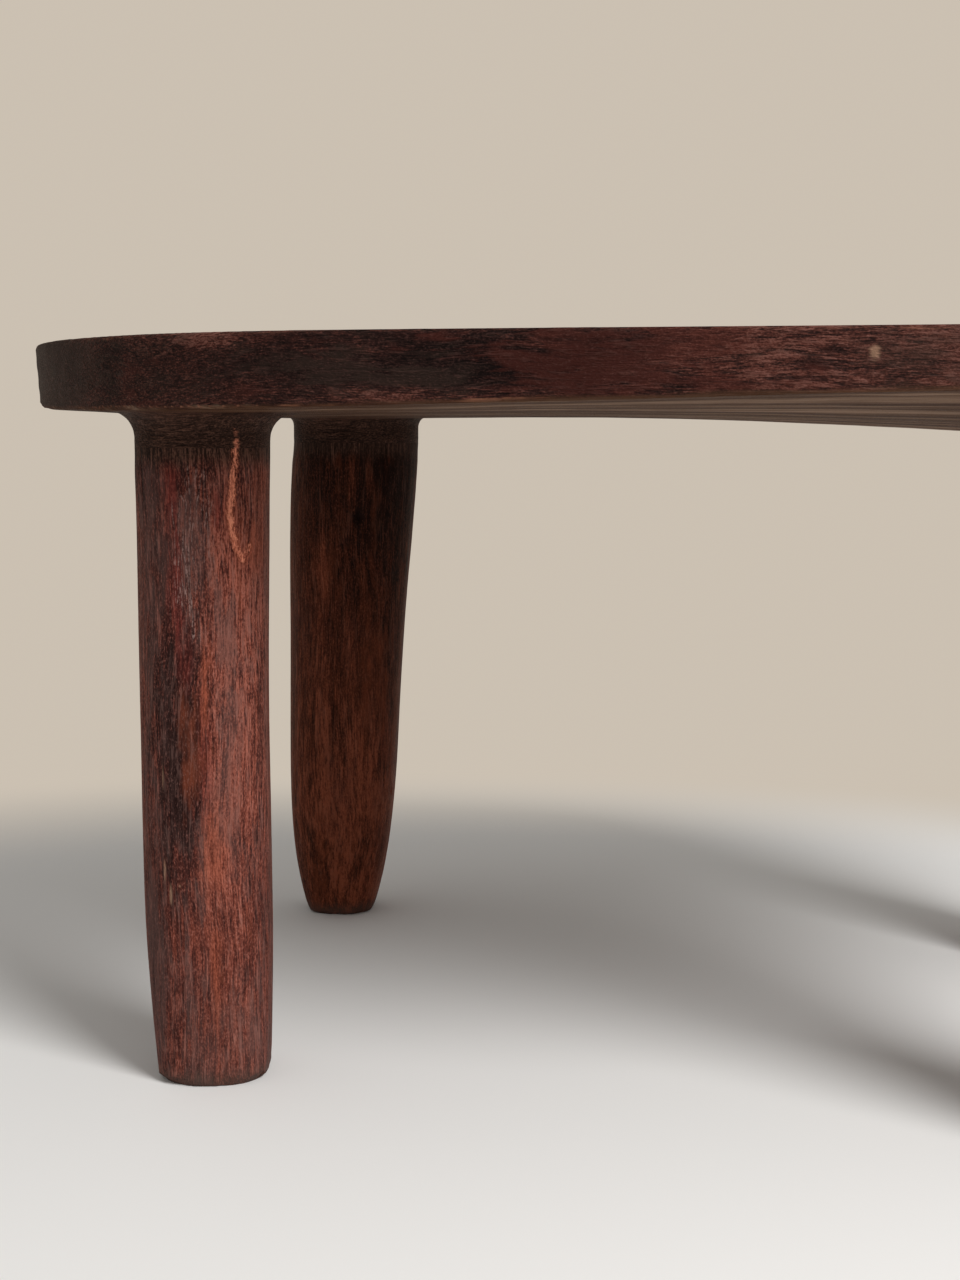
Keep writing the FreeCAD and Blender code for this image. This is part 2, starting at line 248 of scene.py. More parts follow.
def off_the_mortises(place):
    """True for a point that lies clear of the four mortises."""
    reach = MORTISE_RADIUS + MORTISE_MARGIN
    return all(math.hypot(place.x - x, place.y - y) > reach for _, x, y, _ in LEGS.values())


def on_the_plank(place):
    """True for a point of the skin that belongs on the CAD plank."""
    return place.z > SHOULDER + SHOULDER_MARGIN and off_the_mortises(place)


def fit_to_cad(piece, node, weigh):
    """Lay the points of a piece on a CAD node, each as far as its weight says."""
    group = piece.vertex_groups.new(name="fitted")
    batches = {}
    for vertex in piece.data.vertices:
        batches.setdefault(round(float(weigh(vertex.co)), 2), []).append(vertex.index)
    for weight, chosen in batches.items():
        group.add(chosen, weight, "REPLACE")
    use_modifier(piece, "SHRINKWRAP", target=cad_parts[node], vertex_group=group.name)
    piece.vertex_groups.clear()


for voxel in VOXELS:
    use_modifier(plank, "REMESH", mode="VOXEL", voxel_size=voxel)
    fit_to_cad(plank, "top_slab", on_the_plank)
open_piece(plank)
bpy.ops.mesh.bisect(plane_co=(0, 0, SHOULDER), plane_no=(0, 0, 1), use_fill=True, clear_inner=True)
close_piece()
print("The plank's skin has", len(plank.data.polygons), "faces")

# %% [markdown]
# Carving by rule needs the places and normals of all points as arrays, smooth noise, and a way
# to keep a number for each point that a finish can read later, such as where an edge is worn.
# Averaging a number with its neighbours softens a mask, as a thumb smudges charcoal.

# %% Helpers for carving


def soft_step(low, high, value):
    """0 below low, 1 above high, and smooth in between; works backwards too."""
    share = np.clip((value - low) / (high - low), 0, 1)
    return share * share * (3 - 2 * share)


def read_points(piece):
    """The places and the normals of a piece's points."""
    count = len(piece.data.vertices)
    places, normals = np.zeros(count * 3, np.float32), np.zeros(count * 3, np.float32)
    piece.data.vertices.foreach_get("co", places)
    piece.data.vertices.foreach_get("normal", normals)
    return places.reshape(-1, 3).astype(float), normals.reshape(-1, 3).astype(float)


def soften(piece, values, rounds):
    """Average every point's number with its neighbours', several times over."""
    ends = np.zeros(len(piece.data.edges) * 2, np.int32)
    piece.data.edges.foreach_get("vertices", ends)
    first, second = ends.reshape(-1, 2).T
    count = len(values)
    shares = np.bincount(ends, minlength=count) + 1
    for _ in range(rounds):
        gained = np.bincount(first, values[second], count) + np.bincount(second, values[first], count)
        values = (values + gained) / shares
    return values


def waves(places, x_rate, y_rate, z_rate, seed):
    """Smooth noise from -1 to 1, with so many waves per metre along each axis."""
    scaled = places * (x_rate, y_rate, z_rate) + seed
    return np.array([noise.noise(Vector(point)) for point in scaled])


def add_waves(places, rows, seed=0):
    """Add up waves, each given by its depth, its rates along the axes and its own seed."""
    return sum(depth * waves(places, *rates, own_seed + seed) for depth, *rates, own_seed in rows)


def carve(piece, places, normals, depths):
    """Move every point along its normal."""
    moved = places + normals * np.asarray(depths)[:, None]
    piece.data.vertices.foreach_set("co", moved.astype(np.float32).ravel())
    piece.data.update()


def keep(piece, name, values):
    """Store one number per point under a name that a finish can read."""
    layer = piece.data.attributes.new(name, "FLOAT", "POINT")
    layer.data.foreach_set("value", np.clip(values, 0, 1).astype(np.float32))


print("Carving helpers ready")

# %% [markdown]
# The fine skin is only needed where the form turns: on the rim, its two worn edges and the
# collars. The open ground of the top and the underside is nearly flat, so a Decimate thins it
# there and leaves the rest alone, which a vertex group tells it.

# %% Thin the open ground
FLAT_LIMIT, EDGE_ROUNDS, STILL_LIMIT = 0.98, 8, 0.001
DECIMATE_SHARE = 0.42

places, normals = read_points(plank)
turning = soften(plank, (np.abs(normals[:, 2]) < FLAT_LIMIT).astype(float), EDGE_ROUNDS)
group = plank.vertex_groups.new(name="open_ground")
group.add(np.flatnonzero(turning < STILL_LIMIT).tolist(), 1.0, "REPLACE")
use_modifier(plank, "DECIMATE", ratio=DECIMATE_SHARE, vertex_group=group.name)
plank.vertex_groups.clear()
print("The thinned plank has", len(plank.data.polygons), "faces")

# %% [markdown]
# Hand tools leave long, shallow waves: the adze on the rim, a gouge along the underside. Such
# waves belong in the mesh, because they show in the outline and in the reflections. The two
# edges of the rim have small dents from use. A tool only takes wood away, so the waves of the
# rim lie inside the planned outline. Near the shoulders the carving fades out, so that collar
# and leg still meet.

# %% Carve the plank
RIM_ALLOWANCE = 0.00045
# Depth, waves per metre along each axis, and seed
RIM_WAVES = ((0.0006, 17, 17, 40, 1.3), (0.0003, 60, 60, 150, 4.1))
UNDER_WAVES = ((0.0006, 6, 40, 6, 7.7), (0.0002, 20, 95, 20, 2.9))
TOP_WAVES = ((0.0003, 5, 19, 5, 5.2),)
BROAD_DENTS, FINE_DENTS = (34, 34, 34, 9.4), (90, 90, 90, 3.3)
DENT_DEPTH = 0.0008
# How far up a normal points where the top, the underside and the two edges start and are full
TOP_TURN, UNDER_TURN = (0.5, 0.9), (-0.45, -0.8)
EDGE_TURN, EDGE_END = (0.15, 0.5), (0.97, 0.8)
COLLAR_GAP = (0.018, 0.010)
SHOULDER_FADE = (SHOULDER + 0.001, SHOULDER + 0.008)

places, normals = read_points(plank)
upright = normals[:, 2]
gaps_to_legs = [
    np.hypot(places[:, 0] - x, places[:, 1] - y) - NECK_RADIUS[kind] for kind, x, y, _ in LEGS.values()
]
off_leg = np.min(gaps_to_legs, axis=0)
top_share = soft_step(*TOP_TURN, upright)
under_share = soft_step(*UNDER_TURN, upright)
collar_share = soft_step(*COLLAR_GAP, off_leg) * (1 - top_share)
rim_share = (1 - np.maximum(top_share, under_share)) * (1 - collar_share)
edge_share = soft_step(*EDGE_TURN, np.abs(upright)) * soft_step(*EDGE_END, np.abs(upright))
edge_share *= 1 - collar_share
free_share = np.array([off_the_mortises(Vector(point)) for point in places], float)
free_share *= soft_step(*SHOULDER_FADE, places[:, 2])

rim_waves = add_waves(places, RIM_WAVES) - RIM_ALLOWANCE
under_waves = add_waves(places, UNDER_WAVES)
top_waves = -np.abs(add_waves(places, TOP_WAVES))
dents = soft_step(0.05, 0.5, waves(places, *BROAD_DENTS))
dents += soft_step(0.3, 0.6, waves(places, *FINE_DENTS))
depths = rim_share * rim_waves + under_share * under_waves + top_share * top_waves
depths -= DENT_DEPTH * edge_share * dents
carve(plank, places, normals, depths * free_share)
keep(plank, "tabletop", top_share)
keep(plank, "underside", under_share * (1 - collar_share))
keep(plank, "collar", collar_share)
keep(plank, "lower_edge", soften(plank, edge_share * (upright < 0), 1))
keep(plank, "upper_edge", soften(plank, edge_share * (upright > 0), 1))
print("Carved the plank by up to", round(1000 * float(np.abs(depths).max()), 2), "mm")

# %% [markdown]
# The mortises are bored last, so that their rims stay crisp. One cutter holds four cylinders,
# and a Boolean takes them out of the plank in one go.

# %% Bore the mortises
BORE_LENGTH = 0.2
let_go()
drills = []
for _, x, y, _ in LEGS.values():
    bpy.ops.mesh.primitive_cylinder_add(
        vertices=ROUND_POINTS, radius=MORTISE_RADIUS, depth=BORE_LENGTH, location=(x, y, TABLE_TOP)
    )
    drills.append(bpy.context.object)
cut_out(plank, join_pieces(drills))
hand_over(plank, "top_slab")
plank.data.calc_loop_triangles()
print("The plank has", len(plank.data.loop_triangles), "triangles")

# %% [markdown]
# A leg grows from its sole, as on a lathe that forgot to turn: a filled circle is extruded
# ring by ring, and each ring is scaled and slid to its place. Rings that lie close together
# keep the shoulder crisp when the Subdivision Surface smooths the rest. The rings only have to
# be near the truth, because a Shrinkwrap then fits the shaft to the CAD leg, with its
# rounded-square section. The fit fades out towards the shoulder, where the leg is as round as
# its collar, and the tenon above is already exact.

# %% Raise the legs
FOOT_BEVEL = 0.0015
RING_POINTS, SHAFT_RINGS = 56, 44
CRISP = 0.0002
END_CHAMFER = 0.0006
FIT_FADE = 0.014
# Heights, radii and sideways shifts of the shaft
SHAFTS = {
    "stout": ((0.0015, 0.15, 0.2455, 0.3605), (0.031, 0.0357, 0.0358, 0.03775), (0.003, 0, 0, 0)),
    "tapered": (
        (0.0015, 0.085, 0.15, 0.2655, 0.3605),
        (0.025, 0.0387, 0.0412, 0.0447, 0.047),
        (-0.0132, -0.0115, -0.0095, -0.0055, 0),
    ),
}


def ring_plan(kind, x, facing):
    """Heights, radii and X places of all the rings of a leg above its sole."""
    levels, radii, shifts = SHAFTS[kind]
    shaft = np.linspace(FOOT_BEVEL, SHOULDER - 4 * CRISP, SHAFT_RINGS)
    plan = []
    for level in (*shaft, SHOULDER - CRISP, SHOULDER):
        shift = facing * np.interp(level, levels, shifts)
        plan.append((float(level), float(np.interp(level, levels, radii)), float(x + shift)))
    plan += [
        (SHOULDER, NECK_RADIUS[kind] - CRISP, x),
        (SHOULDER, TENON_RADIUS + CRISP, x),
        (SHOULDER, TENON_RADIUS, x),
        (SHOULDER + CRISP, TENON_RADIUS, x),
        ((SHOULDER + TENON_END) / 2, TENON_RADIUS, x),
        (TENON_END - 2 * END_CHAMFER, TENON_RADIUS, x),
        (TENON_END - END_CHAMFER, TENON_RADIUS, x),
        (TENON_END, TENON_RADIUS - END_CHAMFER, x),
        (TENON_END, TENON_RADIUS - 2 * END_CHAMFER, x),
    ]
    return plan


def raise_leg(name):
    """Extrude one leg ring by ring from its sole."""
    kind, x, y, facing = LEGS[name]
    plan = ring_plan(kind, x, facing)
    level, radius, place = 0.0, plan[0][1] - FOOT_BEVEL, plan[0][2]
    let_go()
    bpy.ops.mesh.primitive_circle_add(
        vertices=RING_POINTS, radius=radius, fill_type="NGON", location=(place, y, level)
    )
    leg = bpy.context.object
    leg.name = f"carved_leg_{name}"
    bpy.ops.object.transform_apply(location=True)
    open_piece(leg)
    for next_level, next_radius, next_place in plan:
        step = (next_place - place, 0, next_level - level)
        growth = next_radius / radius
        bpy.ops.mesh.extrude_region_move(TRANSFORM_OT_translate={"value": step})
        bpy.ops.transform.resize(
            value=(growth, growth, 1), center_override=(next_place, y, next_level)
        )
        level, radius, place = next_level, next_radius, next_place
    close_piece()
    use_modifier(leg, "SUBSURF", levels=2, render_levels=2)
    fit_to_cad(leg, f"leg_{name}", lambda point: min(max((SHOULDER - point.z) / FIT_FADE, 0), 1))
    return leg


legs = {name: raise_leg(name) for name in LEGS}
for name, leg in legs.items():
    print(leg.name, "has", len(leg.data.polygons), "faces")

# %% [markdown]
# The shafts were hewn with the grain, so their waves are long in height and short around. The
# front left leg also has its own story: a strip torn out below the shoulder that left bare
# orange wood, and three grooves with raised hairs beside it. The rear left leg has a small dark
# knot and a nick on its edge. Every foot is a little chipped where it stands.

# %% Carve the legs
# Each tear: how much narrower it is than the widest one, and its line
TEARS = [
    (0.0, [
        (-0.2111, -0.2087, 0.3503), (-0.2126, -0.2101, 0.3378), (-0.2134, -0.2109, 0.3253),
        (-0.2128, -0.2102, 0.3144), (-0.2115, -0.2089, 0.3066), (-0.2096, -0.2066, 0.3021),
        (-0.2077, -0.2039, 0.2987),
    ]),
    (0.0003, [(-0.2106, -0.2078, 0.3682), (-0.2105, -0.2075, 0.3639), (-0.2111, -0.2087, 0.3503)]),
    (0.0008, [(-0.2096, -0.2066, 0.3021), (-0.2066, -0.2021, 0.3030), (-0.2059, -0.2007, 0.3073)]),
]
GROOVES = [
    [(-0.2314, -0.2203, 0.3482), (-0.2326, -0.2200, 0.3271), (-0.2347, -0.2200, 0.2927),
     (-0.2336, -0.2195, 0.2740), (-0.2315, -0.2189, 0.2596)],
    [(-0.2263, -0.2187, 0.3433), (-0.2243, -0.2174, 0.3178), (-0.2261, -0.2178, 0.2998)],
    [(-0.2382, -0.2212, 0.3324), (-0.2387, -0.2207, 0.2778)],
]
KNOT = (-0.2537, 0.1406, 0.3064)
NICK = (-0.2400, 0.1790, 0.0950)
TEAR_REACH, GROOVE_REACH = 0.008, 0.010
# Depth of a mark, and how far from its middle it starts and is deepest
TEAR_CUT, GROOVE_CUT = (0.0008, 0.0026, 0.0008), (0.0006, 0.0026, 0.0006)
KNOT_CUT, NICK_CUT = (0.0015, 0.006, 0.001), (0.0015, 0.004, 0.001)
CHIP_DEPTH, CHIP_ZONE = 0.0012, (0.009, 0.001)
SOLE_ZONE, SEAM = 0.003, 0.001
# Depth, waves per metre along each axis, and seed
HEWN_WAVES = ((0.0008, 17, 17, 7, 0), (0.0005, 60, 60, 9, 3), (0.0002, 250, 250, 13, 6))
CHIP_WAVES = ((1, 75, 75, 60, 8),)
RAGGED_WAVES = ((0.0009, 300, 300, 60, 12),)
SEED_STEP = 11.7


def near_line(places, corners):
    """Distance of every point from a bent line."""
    nearest = np.full(len(places), np.inf)
    for start, end in zip(corners, corners[1:]):
        start, run = np.array(start), np.array(end) - np.array(start)
        share = np.clip((places - start) @ run / (run @ run), 0, 1)
        nearest = np.minimum(nearest, np.linalg.norm(places - start - share[:, None] * run, axis=1))
    return nearest


def cut(gaps, depth, start, deepest):
    """How deep a mark goes, by the gap from its middle."""
    return depth * soft_step(start, deepest, gaps)


def carve_leg(leg, seed):
    """Hew one shaft, and add the marks that lie on it."""
    places, normals = read_points(leg)
    heights = places[:, 2]
    shaft = soft_step(SHOULDER - SEAM, SHOULDER - FIT_FADE, heights)
    depths = add_waves(places, HEWN_WAVES, seed)
    chips = soft_step(0.1, 0.45, add_waves(places, CHIP_WAVES, seed))
    depths -= CHIP_DEPTH * chips * soft_step(*CHIP_ZONE, heights)
    eaten = add_waves(places, RAGGED_WAVES, seed)
    tear = np.min([near_line(places, line) + narrower for narrower, line in TEARS], axis=0) + eaten
    groove = np.min([near_line(places, line) for line in GROOVES], axis=0) + eaten
    knot = np.linalg.norm(places - KNOT, axis=1)
    nick = np.linalg.norm(places - NICK, axis=1)
    depths -= cut(tear, *TEAR_CUT) + cut(groove, *GROOVE_CUT)
    depths -= cut(knot, *KNOT_CUT) + cut(nick, *NICK_CUT)
    normals[:, 2] *= soft_step(0.0, SOLE_ZONE, heights)
    carve(leg, places, normals, depths * shaft)
    keep(leg, "torn", 1 - tear / TEAR_REACH)
    keep(leg, "scuffed", 1 - groove / GROOVE_REACH)
    print(leg.name, "carved by up to", round(1000 * float(np.abs(depths * shaft).max()), 2), "mm")


for count, leg in enumerate(legs.values()):
    carve_leg(leg, SEED_STEP * count)

# %% [markdown]
# A kerf is sawn into each tenon and spread open by its wedge. The wedge starts as a cube whose
# lower face is narrowed, which is all that a wedge is. A slightly longer twin serves as the
# saw that cuts the kerf.

# %% Saw the kerfs and make the wedges
KERF_DEPTH, KERF_MOUTH, KERF_ROOT = 0.042, 0.006, 0.0025
WEDGE_TIP_GAP, WEDGE_END_GAP = 0.003, 0.001
WEDGE_BEVEL = 0.0005
SAW_LENGTH, SAW_OVERRUN = 0.06, 0.001
TAPER = (KERF_MOUTH - KERF_ROOT) / KERF_DEPTH


def tapered_block(x, y, top, depth, mouth, root, length):
    """A cube, sized and narrowed towards its lower face."""
    let_go()
    bpy.ops.mesh.primitive_cube_add(size=1, location=(x, y, top - depth / 2))
    block = bpy.context.object
    block.scale = (mouth, length, depth)
    bpy.ops.object.transform_apply(location=True, scale=True)
    open_piece(block)
    pick_points(block, lambda place: place.z < top - depth / 2)
    bpy.ops.transform.resize(value=(root / mouth, 1, 1), center_override=(x, y, top - depth))
    close_piece()
    return block


wedges = {}
for name, (_, x, y, _) in LEGS.items():
    leg = legs[name]
    saw = tapered_block(
        x, y, TENON_END + SAW_OVERRUN, KERF_DEPTH + SAW_OVERRUN,
        KERF_MOUTH + TAPER * SAW_OVERRUN, KERF_ROOT, SAW_LENGTH,
    )
    cut_out(leg, saw)
    wedge = tapered_block(
        x, y, TENON_END, KERF_DEPTH - WEDGE_TIP_GAP,
        KERF_MOUTH, KERF_ROOT + TAPER * WEDGE_TIP_GAP, 2 * (TENON_RADIUS - WEDGE_END_GAP),
    )
    wedge.name = f"driven_wedge_{name}"
    open_piece(wedge)
    bpy.ops.mesh.bevel(offset=WEDGE_BEVEL, segments=2, affect="EDGES")
    close_piece()
    wedges[name] = wedge
    hand_over(leg, f"leg_{name}")
    hand_over(wedge, f"wedge_{name}")
print("Made", len(wedges), "wedges")

# %% [markdown]
# Finishes are built from nodes. These helpers add a node, fill or link its inputs, and make a
# step, a ramp or a group, so that each recipe below reads as a short list of steps.

# %% Helpers for finishes


def fill_inputs(tree, node, inputs):
    """Link the inputs that come from other nodes and set the others."""
    for name, source in inputs.items():
        if isinstance(source, bpy.types.NodeSocket):
            tree.links.new(source, node.inputs[name])
        else:
            node.inputs[name].default_value = source
    return node


def add_node(tree, kind, inputs, **options):
    """Add a shader node, set its options, and fill its inputs."""
    node = tree.nodes.new(f"ShaderNode{kind}")
    for name, choice in options.items():
        setattr(node, name, choice)
    return fill_inputs(tree, node, inputs)


def use_group(tree, group, inputs):
    """Place a group in a material and return what it puts out."""
    return add_node(tree, "Group", inputs, node_tree=group).outputs


def calculate(tree, operation, *terms):
    """A Math node's result."""
    return add_node(tree, "Math", dict(enumerate(terms)), operation=operation).outputs[0]


def move(tree, operation, first, second):
    """A Vector Math node's result."""
    return add_node(tree, "VectorMath", {0: first, 1: second}, operation=operation).outputs[0]


def step_up(tree, value, low, high):
    """0 below low and 1 above high, smooth in between; works backwards too."""
    inputs = {"Value": value, "From Min": low, "From Max": high}
    return add_node(tree, "MapRange", inputs, interpolation_type="SMOOTHSTEP").outputs["Result"]


def colour_ramp(tree, value, stops):
    """Colours spread along a value from 0 to 1."""
    node = add_node(tree, "ValToRGB", {"Fac": value})
    elements = node.color_ramp.elements
    while len(elements) < len(stops):
        elements.new(1.0)
    for element, (position, colour) in zip(elements, stops):
        element.position, element.color = position, colour
    return node.outputs["Color"]


def start_group(name, inputs, outputs):
    """Make a node group with named sockets and return its tree, entry and exit."""
    tree = bpy.data.node_groups.new(name, "ShaderNodeTree")
    for way, sockets in (("INPUT", inputs), ("OUTPUT", outputs)):
        for label, kind in sockets.items():
            tree.interface.new_socket(label, in_out=way, socket_type=f"NodeSocket{kind}")
    return tree, tree.nodes.new("NodeGroupInput").outputs, tree.nodes.new("NodeGroupOutput").inputs


print("Finish helpers ready")

# %% [markdown]
# All the wood shares one grain. Noise that is squeezed along one axis looks like fibres that
# run along that axis, so the group takes the squeeze as an input: the legs squeeze height, the
# plank squeezes length. A slow wobble bends the fibres first, because real grain is never
# straight. Long fibres, strands and streaks take the whole squeeze, mottling and blotches its
# square root, and the short flecks of a tool-torn surface still less. A bite, made of the same
# noises, later frays the edge of every stain along the grain.

# %% Grain group
WOBBLE_RATE, WOBBLE_REACH = 9.0, 0.012
SQUEEZE_POWERS = {"tight": 1.0, "loose": 0.5, "free": 0.28}
HAZE_OFFSET = (0.73, 0.19, 0.44)
# Each noise: the squeeze that it takes, its scale and its detail
GRAIN_NOISES = {
    "Fibre": ("tight", 900, 3),
    "Fleck": ("free", 1150, 2),
    "Mottle": ("loose", 240, 3),
    "Strand": ("tight", 170, 2),
    "Streak": ("tight", 210, 3),
    "Blotch": ("loose", 24, 4),
    "Haze": ("aside", 45, 6),
}
GRAIN_ROUGHNESS = 0.65
BITE_WEIGHTS = {"Streak": -2.4, "Fibre": -0.7, "Mottle": -0.7}

tree, entry, leave = start_group(
    "long_grain",
    {"Place": "Vector", "Squeeze": "Vector"},
    {label: "Float" for label in (*GRAIN_NOISES, "Bite")},
)
wobble = add_node(tree, "TexNoise", {"Vector": entry["Place"], "Scale": WOBBLE_RATE, "Detail": 1})
centred = move(tree, "SUBTRACT", wobble.outputs["Color"], (0.5, 0.5, 0.5))
swing = move(tree, "MULTIPLY", centred, (WOBBLE_REACH,) * 3)
bent = move(tree, "ADD", entry["Place"], swing)
squeezed = {}
for label, power in SQUEEZE_POWERS.items():
    squeeze = move(tree, "POWER", entry["Squeeze"], (power,) * 3)
    squeezed[label] = move(tree, "MULTIPLY", bent, squeeze)
squeezed["aside"] = move(tree, "ADD", squeezed["loose"], HAZE_OFFSET)
noises = {}
for label, (vector, scale, detail) in GRAIN_NOISES.items():
    inputs = {"Vector": squeezed[vector], "Scale": scale, "Detail": detail, "Roughness": GRAIN_ROUGHNESS}
    noises[label] = add_node(tree, "TexNoise", inputs).outputs["Fac"]
    tree.links.new(noises[label], leave[label])
bite = 0.0
for label, weight in BITE_WEIGHTS.items():
    part = calculate(tree, "MULTIPLY_ADD", noises[label], weight, -weight / 2)
    bite = calculate(tree, "ADD", bite, part)
tree.links.new(bite, leave["Bite"])
grain_group = tree
print("Grain group has", len(tree.nodes), "nodes")

# %% [markdown]
# Stains and worn places sit where they sit, so a second group makes one patch: an ellipsoid
# about a centre, whose edge the bite of the grain frays. A patch that is narrow across the
# grain and long with it reads as a scratch or a crack.

# %% Patch group
PATCH_EDGE = (1.3, 0.1)

tree, entry, leave = start_group(
    "frayed_patch",
    {"Place": "Vector", "Centre": "Vector", "Reach": "Vector", "Bite": "Float"},
    {"Mask": "Float"},
)
offset = move(tree, "SUBTRACT", entry["Place"], entry["Centre"])
relative = move(tree, "DIVIDE", offset, entry["Reach"])
distance = add_node(tree, "VectorMath", {0: relative}, operation="LENGTH").outputs["Value"]
edge = calculate(tree, "ADD", distance, entry["Bite"])
tree.links.new(step_up(tree, edge, *PATCH_EDGE), leave["Mask"])
patch_group = tree
print("Patch group has", len(tree.nodes), "nodes")

# %% [markdown]
# The patina adds the grain up to one tone from dark to bright, and each material turns that
# tone into its own colours with a ramp. A stain only shifts the tone, so the grain runs on
# through it, as it does in wood, and a contrast says how strongly the grain shows. Where the
# strand noise passes one level it draws a thin pale hair, a painted highlight, and at a lower
# level a thin dark line beside it, a painted shade, so the pair looks like a raised fibre lit
# from one side. Three layers lie over the tone: warm places where the haze is thin, a dusty
# grey with painted sheen where it is thick, and pale specks, the ends of torn fibres, with
# painted glints where they would catch the light. Roughness and height follow the same map.

# %% Patina group
TONE_WEIGHTS = {"Blotch": 0.7, "Streak": 0.45, "Fibre": 1.5, "Mottle": 0.22, "Fleck": 1.0}
HAIR_LEVEL, CRACK_LEVEL, LINE_WIDTH = 0.53, 0.45, 0.05
HAIR_HIGHLIGHT_RISE, CRACK_SHADE_DROP, HAIR_GLEAM = 0.13, -0.13, 0.6
# Where the broken lines and each layer start and are full
BREAK_EDGE, SPECK_AND_GLINT_EDGE = (0.42, 0.58), (0.50, 0.82)
WARM_EDGE, DUST_AND_SHEEN_EDGE = (0.48, 0.30), (0.72, 1.02)


def line_at(tree, strand, level):
    """A thin line where a noise passes one level."""
    gap = calculate(tree, "ABSOLUTE", calculate(tree, "SUBTRACT", strand, level))
    return step_up(tree, gap, LINE_WIDTH, 0.0)


tree, entry, leave = start_group(
    "patina",
    {label: "Float" for label in (*GRAIN_NOISES, "Shift", "Contrast", "Dust_and_sheen")},
    {label: "Float" for label in ("Tone", "Warm", "Dust_and_sheen", "Speck_and_glint", "Roughness", "Height")},
)
swell = 0.0
for label, weight in TONE_WEIGHTS.items():
    centred = calculate(tree, "SUBTRACT", entry[label], 0.5)
    swell = calculate(tree, "MULTIPLY_ADD", centred, weight, swell)
broken = step_up(tree, entry["Mottle"], *BREAK_EDGE)
# Painted highlight and painted shade: a pale hair with a dark line beside it, as on a raised fibre
hair = calculate(tree, "MULTIPLY", line_at(tree, entry["Strand"], HAIR_LEVEL), broken)
crack_shade = calculate(tree, "MULTIPLY", line_at(tree, entry["Strand"], CRACK_LEVEL), broken)
swell = calculate(tree, "MULTIPLY_ADD", hair, HAIR_HIGHLIGHT_RISE, swell)
swell = calculate(tree, "MULTIPLY_ADD", crack_shade, CRACK_SHADE_DROP, swell)
tone = calculate(tree, "ADD", entry["Shift"], 0.5)
tone = calculate(tree, "MULTIPLY_ADD", swell, entry["Contrast"], tone)
# Where haze and dust are thick lies a grey that is partly dust and partly painted sheen
settled = calculate(tree, "ADD", entry["Haze"], entry["Dust_and_sheen"])
thickness = calculate(tree, "MULTIPLY_ADD", entry["Mottle"], 0.5, settled)
height = entry["Streak"]
for part, weight in ((entry["Fibre"], 0.6), (entry["Fleck"], 0.5), (hair, 0.4)):
    height = calculate(tree, "MULTIPLY_ADD", part, weight, height)
# Pale specks of torn fibre ends, with painted glints on them and on the hairs
speck_and_glint = step_up(tree, entry["Fleck"], *SPECK_AND_GLINT_EDGE)
gleam = calculate(tree, "MULTIPLY", hair, HAIR_GLEAM)
for label, socket in (
    ("Tone", tone),
    ("Warm", step_up(tree, settled, *WARM_EDGE)),
    ("Dust_and_sheen", step_up(tree, thickness, *DUST_AND_SHEEN_EDGE)),
    ("Speck_and_glint", calculate(tree, "MAXIMUM", speck_and_glint, gleam)),
    ("Roughness", calculate(tree, "MULTIPLY_ADD", tone, -0.15, 0.65)),
    ("Height", height),
):
    tree.links.new(socket, leave[label])
patina_group = tree
print("Patina group has", len(tree.nodes), "nodes")

# %% [markdown]
# A material starts the same way each time: object coordinates and the grain, which the helpers
# carry along with its colour so far. Its marks are listed as centre, reach and strength, and
# added up. Then the patina, a ramp, a dusty grey with painted sheen and pale specks with painted
# glints make the first coat, other tints are laid over it, and a Bump gives the grain that is
# finer than the mesh can hold. The wood is dry and dull, so it reflects very little.

# %% Helpers for wood
SPECULAR, BUMP_STRENGTH = 0.06, 0.8
# Height of the bump in metres
BUMPS = {"stout": 0.0013, "tapered": 0.0010, "plank": 0.0012, "wedge": 0.0005}
FINEST_DARK, FINEST_BRIGHT = 0.38, 0.60


def start_wood(name, squeeze):
    """A material with its coordinates and grain in place."""
    material = bpy.data.materials.new(name)
    material.use_nodes = True
    tree = material.node_tree
    place = add_node(tree, "TexCoord", {}).outputs["Object"]
    grain = use_group(tree, grain_group, {"Place": place, "Squeeze": squeeze})
    return SimpleNamespace(material=material, tree=tree, place=place, grain=grain)


def add_marks(wood, marks, total=0.0):
    """Add frayed patches to a value, each with its own strength."""
    for centre, reach, strength in marks:
        inputs = {"Place": wood.place, "Centre": centre, "Reach": reach, "Bite": wood.grain["Bite"]}
        mask = use_group(wood.tree, patch_group, inputs)["Mask"]
        total = calculate(wood.tree, "MULTIPLY_ADD", mask, strength, total)
    return total


def read_mark(wood, name):
    """A number that was kept on the mesh."""
    return add_node(wood.tree, "Attribute", {}, attribute_name=name).outputs["Fac"]


def lay_over(wood, mask, strength, tint):
    """Lay a tint over the colour so far, where a mask is set."""
    share = calculate(wood.tree, "MULTIPLY", mask, strength)
    mix = add_node(wood.tree, "Mix", {0: share, 6: wood.colour, 7: tint}, data_type="RGBA")
    wood.colour = mix.outputs[2]


def coat(wood, shift, contrast, dust_and_sheen, colours, layers):
    """The first coat: the patina's tone as colours, then its warm places, a dusty grey with painted
    sheen, and pale specks with painted glints.
    """
    inputs = {label: wood.grain[label] for label in GRAIN_NOISES}
    inputs.update({"Shift": shift, "Contrast": contrast, "Dust_and_sheen": dust_and_sheen})
    wood.patina = use_group(wood.tree, patina_group, inputs)
    wood.colour = colour_ramp(wood.tree, wood.patina["Tone"], colours)
    for label, strength, tint in layers:
        lay_over(wood, wood.patina[label], strength, tint)


def fray(wood, mask, label, amount, low, high):
    """Turn a soft mask into one whose edge the grain makes rough."""
    rough = calculate(wood.tree, "MULTIPLY_ADD", wood.grain[label], amount, mask)
    return step_up(wood.tree, rough, low, high)


